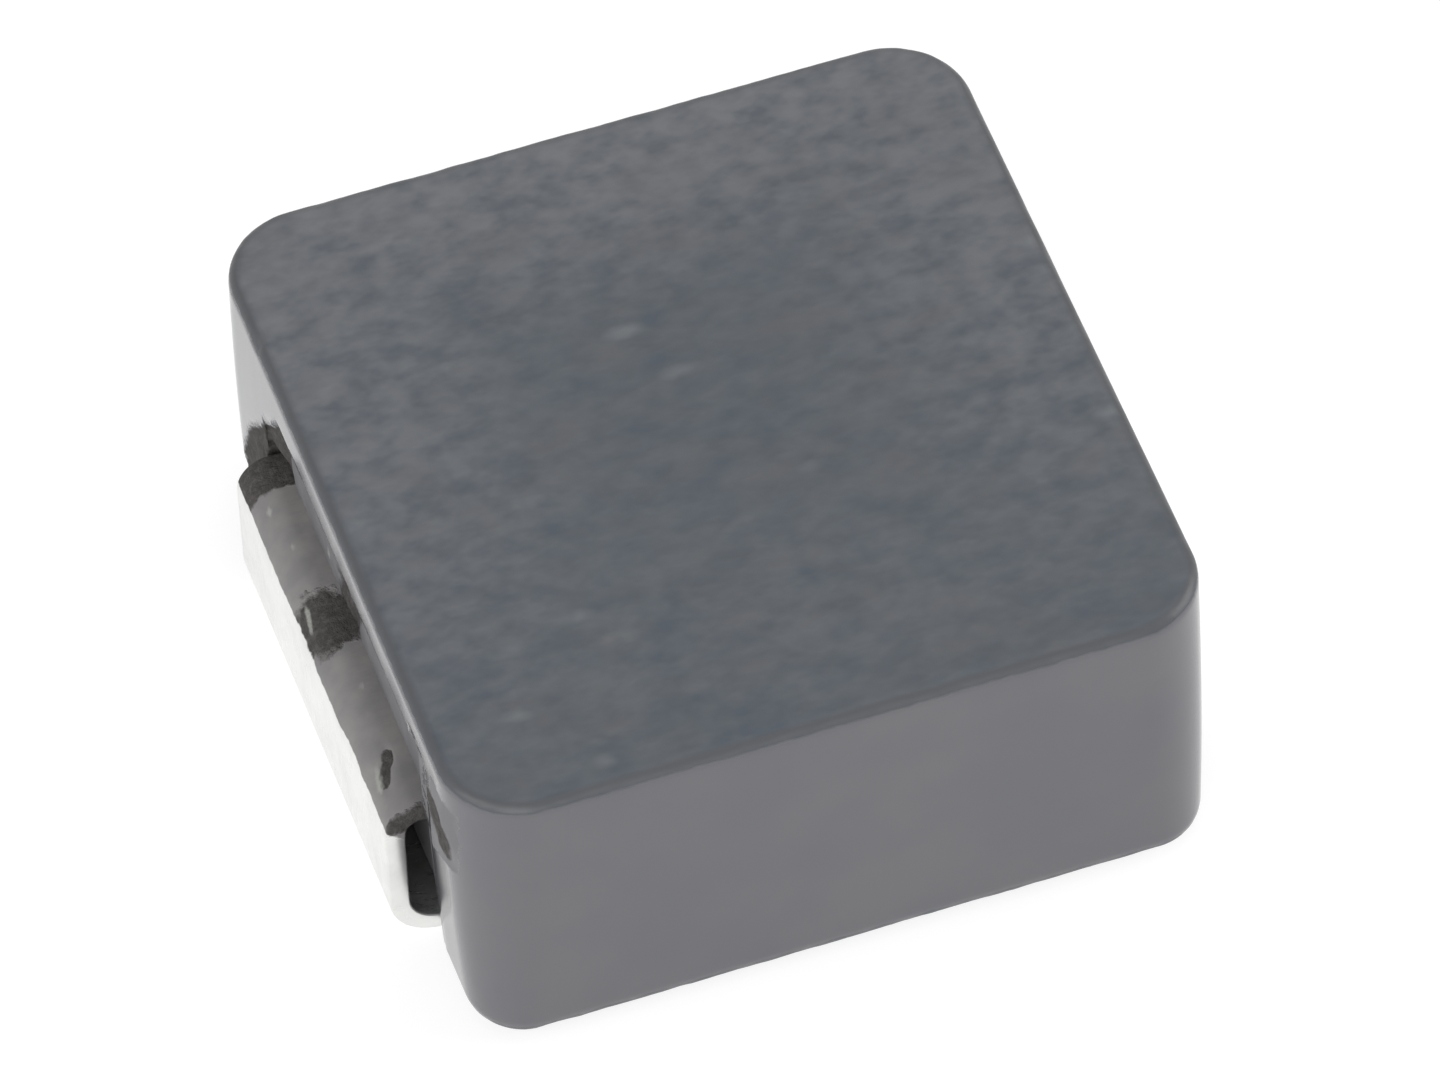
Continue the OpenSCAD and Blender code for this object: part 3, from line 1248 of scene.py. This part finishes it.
@dataclass
class TerminalStrip:
    """A folded strip of tinned copper, with its anchor bar and weld ear inside the block."""

    side: Side
    thickness: float = 0.17
    half_w: float = 2.0
    exit_h: float = 1.62
    upper_r: float = 0.3
    lower_r: float = 0.45
    anchor_x: float = 2.83
    ear_start: float = 2.98
    ear_end: float = 2.51
    ear_near: float = -2.35
    ear_far: float = -1.35
    slack: float = 0.01
    edge_r: float = 0.018
    sharp: float = 60.0
    bend_cells: int = 16
    root_cells: int = 3
    drop_cells: int = 9
    pad_cells: int = 14
    cell: float = 0.09
    roll_wave: Wave = Wave(0.0015, 0.8, 2)
    spray_z: float = 1.42
    spray_slope: float = 0.9
    spray_fade: float = 0.24
    spray_teeth: Wave = Wave(0.025, 0.6, 2)
    spray_span: Span = (0.35, 0.65)
    spray_coat: float = 0.006
    spray_wave: Wave = Wave(0.006, 0.16)
    bite_y: float = -1.1
    bite_span: Span = (0.24, 0.08)
    bite_h: float = 0.05
    far_wear: FarWear = FarWear()
    low: Vector = field(init=False)
    high: Vector = field(init=False)

    def __post_init__(self) -> None:
        """Takes the strip's box from the frame."""
        self.low, self.high = cad_box(self.side.terminal)

    @property
    def outer_x(self) -> float:
        """Distance from the part's middle to the strip's outer face."""
        return max(abs(self.low.x), abs(self.high.x))

    @property
    def pad_x(self) -> float:
        """Distance from the part's middle to the pad's cut end."""
        return min(abs(self.low.x), abs(self.high.x))

    def build(self) -> bpy.types.Object:
        """Builds the strip on the left and mirrors it where it belongs on the right.

        Returns:
            The piece, with its masks in the mesh.
        """
        bm = bmesh.new()
        self._fold(bm)
        self._add_ear(bm)
        close_up(bm)
        bevel(bm, sharp_edges(bm, self.sharp), self.edge_r, segments=2)
        if self.side is Side.RIGHT:
            bmesh.ops.scale(bm, vec=(-1, 1, 1), verts=bm.verts)
        bmesh.ops.recalc_face_normals(bm, faces=bm.faces)
        self._relieve(bm)
        return finished_piece(bm, f"{self.side.name.lower()}_strip")

    def dress(self, piece: bpy.types.Object, finish: bpy.types.Material) -> None:
        """Gives the strip its finish and hides the CAD node that it stands in for.

        Args:
            piece: The strip.
            finish: The material that both strips share.
        """
        piece.data.materials.append(finish)
        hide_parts(self.side.terminal)

    def _fold(self, bm: BMesh) -> None:
        """Runs the strip's section from the anchor bar's end to the pad's cut end.

        Args:
            bm: Empty mesh, which gets the strip without its ear.
        """
        place = Matrix.Translation((-self.anchor_x, 0, self.exit_h - self.thickness / 2))
        size = Matrix.Diagonal((1, 2 * self.half_w, self.thickness, 1))
        upright = Matrix.Rotation(math.pi / 2, 4, "Y")
        bmesh.ops.create_grid(bm, x_segments=1, y_segments=1, size=0.5, matrix=place @ size @ upright)
        upper_x, lower_x = self.outer_x - self.upper_r, self.outer_x - self.lower_r
        drop = self.exit_h - self.upper_r - self.lower_r
        end = self._run(bm, list(bm.faces), (self.anchor_x - self.ear_start, 0, 0), 1)
        end = self._run(bm, end, (self.ear_start - upper_x, 0, 0), self.root_cells)
        end = self._turn(bm, end, (-upper_x, 0, self.exit_h - self.upper_r))
        end = self._run(bm, end, (0, 0, -drop), self.drop_cells)
        end = self._turn(bm, end, (-lower_x, 0, self.lower_r))
        self._run(bm, end, (lower_x - self.pad_x, 0, 0), self.pad_cells)
        cut(bm, Axis.Y, stations(-self.half_w, self.half_w, self.cell, [self.ear_far]))

    def _run(self, bm: BMesh, end: list[BMFace], move: Triple, cells: int) -> list[BMFace]:
        """Lengthens the strip by a move in a straight line, in equal cells, and gives its new end."""
        return self._extend(bm, end, Matrix.Translation(Vector(move) / cells), cells)

    def _turn(self, bm: BMesh, end: list[BMFace], centre: Triple) -> list[BMFace]:
        """Bends the strip down or under by a quarter turn.

        Args:
            bm: Mesh of the strip.
            end: Faces of its open end.
            centre: Middle of the bend.

        Returns:
            The faces of the new end.
        """
        middle = Matrix.Translation(centre)
        turn = Matrix.Rotation(-math.pi / 2 / self.bend_cells, 4, "Y")
        return self._extend(bm, end, middle @ turn @ middle.inverted(), self.bend_cells)

    @staticmethod
    def _extend(bm: BMesh, end: list[BMFace], step: Matrix, cells: int) -> list[BMFace]:
        """Lengthens the strip cell by cell.

        Args:
            bm: Mesh of the strip.
            end: Faces of its open end.
            step: Move of the end from one cell to the next.
            cells: Number of cells.

        Returns:
            The faces of the new end.
        """
        for _ in range(cells):
            made = bmesh.ops.extrude_face_region(bm, geom=end)["geom"]
            bmesh.ops.transform(bm, matrix=step, verts=[v for v in made if isinstance(v, BMVert)])
            inside = [f for f in end if f.is_valid and any(len(e.link_faces) > 2 for e in f.edges)]
            bmesh.ops.delete(bm, geom=inside, context="FACES_ONLY")
            end = [f for f in made if isinstance(f, BMFace)]
        return end

    def _add_ear(self, bm: BMesh) -> None:
        """Grows the weld ear out of the anchor bar's inner end and side.

        Args:
            bm: Mesh of the folded strip.
        """
        bmesh.ops.recalc_face_normals(bm, faces=bm.faces)
        inner = self._bar_faces(bm, (1, 0, 0), -self.anchor_x - self.slack)
        self._run(bm, inner, (self.anchor_x - self.ear_end, 0, 0), 1)
        bm.normal_update()
        bmesh.ops.recalc_face_normals(bm, faces=bm.faces)
        near = self._bar_faces(bm, (0, -1, 0), -self.ear_start)
        self._run(bm, near, (0, self.ear_near + self.half_w, 0), 1)

    def _bar_faces(self, bm: BMesh, outward: Triple, least_x: float) -> list[BMFace]:
        """Finds faces of the anchor bar that the ear grows out of.

        Args:
            bm: Mesh of the strip.
            outward: Direction that the faces look in.
            least_x: Place that they lie beyond, towards the part's middle.

        Returns:
            The faces on the ear's stretch of the bar.
        """
        direction, faces = Vector(outward), []
        for face in bm.faces:
            centre = face.calc_center_median()
            on_bar = centre.y < self.ear_far and centre.z > self.exit_h - self.thickness
            if on_bar and centre.x > least_x and face.normal.dot(direction) > SQUARE_ON:
                faces.append(face)
        return faces

    def _relieve(self, bm: BMesh) -> None:
        """Gives the strip its slight waves and overspray, and writes the masks for the finish.

        Args:
            bm: The folded strip, on its own side of the part.
        """
        bm.normal_update()
        dust, wear, flake_glint = (bm.verts.layers.float.new(name) for name in ("dust", "wear", "flake_glint"))
        moves = []
        for v in bm.verts:
            v[dust] = faded(v.co.z - self._spray_line(v.co), self.spray_fade)
            v[wear], v[flake_glint], pit = MARKS[self.side].at(v.co)
            if self.side is Side.LEFT:
                v[wear] = max(v[wear], self.far_wear.weight(v.co))
            coated = ramp(*self.spray_span, v[dust])
            coat = self.spray_coat + self.spray_wave.at(v.co) - pit
            moves.append(v.normal * (self.roll_wave.at(v.co) + coated * coat))
        shift(bm, moves)

    def _spray_line(self, p: Vector) -> float:
        """Height of the overspray's lower edge, which drops on the strip's inner face.

        Args:
            p: Point in millimetres.

        Returns:
            The edge's height at the point, in millimetres.
        """
        inward = self.outer_x - abs(p.x)
        line = self.spray_z - self.spray_slope * inward + self.spray_teeth.at(p)
        bitten = ramp(*self.bite_span, abs(p.y - self.bite_y)) if self.side is Side.LEFT else 0.0
        return line + self.bite_h * bitten


@dataclass
class Coil:
    """The winding inside the block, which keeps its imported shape."""

    node: str = "winding"

    def dress(self) -> bpy.types.Object:
        """Gives the winding its finish.

        Returns:
            The winding's own object.
        """
        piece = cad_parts[self.node]
        piece.data.materials.clear()
        piece.data.materials.append(EnamelledWire().material())
        return piece


# ---------------------------------------------------------------- the studio


def split_by_eye(tree: bpy.types.NodeTree, plain: Socket, seen: Socket, output: str) -> None:
    """Ends a node tree with one shader for the light and another for what the eye sees.

    Args:
        tree: Nodes of a world or material.
        plain: Shader that lights the part.
        seen: Shader for the camera and for what gloss and glass show.
        output: Type of the output node.
    """
    nodes, links = tree.nodes, tree.links
    path = nodes.new("ShaderNodeLightPath")
    share = path.outputs["Is Camera Ray"]
    for name in ("Is Glossy Ray", "Is Transmission Ray"):
        either = nodes.new("ShaderNodeMath")
        either.operation = "MAXIMUM"
        links.new(share, either.inputs[0])
        links.new(path.outputs[name], either.inputs[1])
        share = either.outputs[0]
    mix = nodes.new("ShaderNodeMixShader")
    links.new(share, mix.inputs["Fac"])
    links.new(plain, mix.inputs[1])
    links.new(seen, mix.inputs[2])
    links.new(mix.outputs[0], nodes.new(output).inputs["Surface"])


@dataclass(frozen=True)
class Lamp:
    """A square soft lamp that points at the part, with its place and side in millimetres.

    Its level is the light that it gives a surface that faces it, as a share of a plain level.
    """

    name: str
    place: Triple
    size: float
    level: float

    def hang(self) -> None:
        """Adds the lamp to the scene."""
        place = Vector(self.place)
        lamp = bpy.data.lights.new(self.name, "AREA")
        lamp.size = self.size * MM
        lamp.energy = self.level * math.pi * math.pi * (place.length * MM) ** 2
        piece = bpy.data.objects.new(self.name, lamp)
        piece.location = place * MM
        piece.rotation_euler = (-place).to_track_quat("-Z", "Y").to_euler()
        bpy.context.scene.collection.objects.link(piece)


@dataclass
class Studio:
    """Pale floor, soft light and the camera. Lengths are in millimetres, angles in degrees."""

    azimuth: float = -16.806
    elevation: float = 50.317
    roll: float = 2.877
    distance: float = 113.043
    lens: float = 340.825
    sensor: float = 36.0
    nearest: float = 1.0
    aim: Triple = (0.035, -0.056, 1.464)
    floor_size: float = 600.0
    floor_drop: float = 0.01
    paper: float = 0.88
    faint_paper: float = 0.3
    paper_glow: float = 0.78
    sky: float = 0.45
    lamps: tuple[Lamp, ...] = (
        Lamp("front_softbox", (-60, -150, 60), 120, 0.52),
        Lamp("top_softbox", (40, 60, 180), 160, 0.2),
        Lamp("right_softbox", (150, -30, 60), 100, 0.45),
        Lamp("left_softbox", (-150, -40, 70), 100, 0.32),
    )

    def build(self) -> None:
        """Builds the floor, the lights and the camera."""
        self._floor()
        self._world()
        for lamp in self.lamps:
            lamp.hang()
        self._camera()

    def _floor(self) -> None:
        """Lays a white floor that keeps a soft shadow."""
        bm = bmesh.new()
        sunk = Matrix.Translation((0, 0, -self.floor_drop * MM))
        bmesh.ops.create_grid(bm, x_segments=1, y_segments=1, size=self.floor_size / 2 * MM, matrix=sunk)
        mesh = bpy.data.meshes.new("floor")
        bm.to_mesh(mesh)
        bm.free()
        floor = bpy.data.objects.new("floor", mesh)
        bpy.context.scene.collection.objects.link(floor)
        floor.data.materials.append(self._floor_finish())

    def _floor_finish(self) -> bpy.types.Material:
        """Makes white paper, which the camera and reflections see nearly evenly lit.

        Returns:
            The finished material.
        """
        material = bpy.data.materials.new("white_floor")
        material.use_nodes = True
        nodes, links = material.node_tree.nodes, material.node_tree.links
        nodes.clear()
        paper, faint = (nodes.new("ShaderNodeBsdfDiffuse") for _ in range(2))
        for shade, level in ((paper, self.paper), (faint, self.faint_paper)):
            shade.inputs["Color"].default_value = (level, level, level, 1)
        glow = nodes.new("ShaderNodeEmission")
        glow.inputs["Strength"].default_value = self.paper_glow
        seen = nodes.new("ShaderNodeAddShader")
        links.new(faint.outputs[0], seen.inputs[0])
        links.new(glow.outputs[0], seen.inputs[1])
        split_by_eye(material.node_tree, paper.outputs[0], seen.outputs[0], "ShaderNodeOutputMaterial")
        return material

    def _world(self) -> None:
        """Surrounds the part with even light that looks white."""
        world = bpy.data.worlds.new("surround")
        bpy.context.scene.world = world
        world.use_nodes = True
        nodes = world.node_tree.nodes
        nodes.clear()
        dim, white = (nodes.new("ShaderNodeBackground") for _ in range(2))
        for shade, strength in ((dim, self.sky), (white, 1.0)):
            shade.inputs["Color"].default_value = (1, 1, 1, 1)
            shade.inputs["Strength"].default_value = strength
        split_by_eye(world.node_tree, dim.outputs[0], white.outputs[0], "ShaderNodeOutputWorld")

    def _camera(self) -> None:
        """Sets the camera above the part's front left corner."""
        camera = bpy.data.cameras.new("camera")
        camera.lens = self.lens
        camera.sensor_width = self.sensor
        camera.clip_start = self.nearest * MM
        azimuth, elevation = math.radians(self.azimuth), math.radians(self.elevation)
        back = Vector((
            math.sin(azimuth) * math.cos(elevation),
            -math.cos(azimuth) * math.cos(elevation),
            math.sin(elevation),
        ))
        piece = bpy.data.objects.new("camera", camera)
        piece.location = (Vector(self.aim) + back * self.distance) * MM
        level = (-back).to_track_quat("-Z", "Y").to_matrix()
        turned = level @ Matrix.Rotation(-math.radians(self.roll), 3, "Z")
        piece.rotation_euler = turned.to_euler()
        bpy.context.scene.collection.objects.link(piece)
        bpy.context.scene.camera = piece
        bpy.context.scene.view_settings.view_transform = "Standard"


# ---------------------------------------------------------------- the whole part


def report(piece: bpy.types.Object) -> None:
    """Logs a finished piece and its number of faces."""
    LOG.info("%s: %d faces", piece.name, len(piece.data.polygons))


def main() -> None:
    """Builds and dresses every piece in turn."""
    logging.basicConfig(level=logging.INFO, format="%(name)s: %(message)s")
    Studio().build()
    block = MouldedBlock()
    piece = block.build()
    block.dress(piece)
    report(piece)
    tin = TinnedStrip().material()
    for side in Side:
        strip = TerminalStrip(side)
        piece = strip.build()
        strip.dress(piece, tin)
        report(piece)
    report(Coil().dress())


if __name__ == "__main__":
    main()
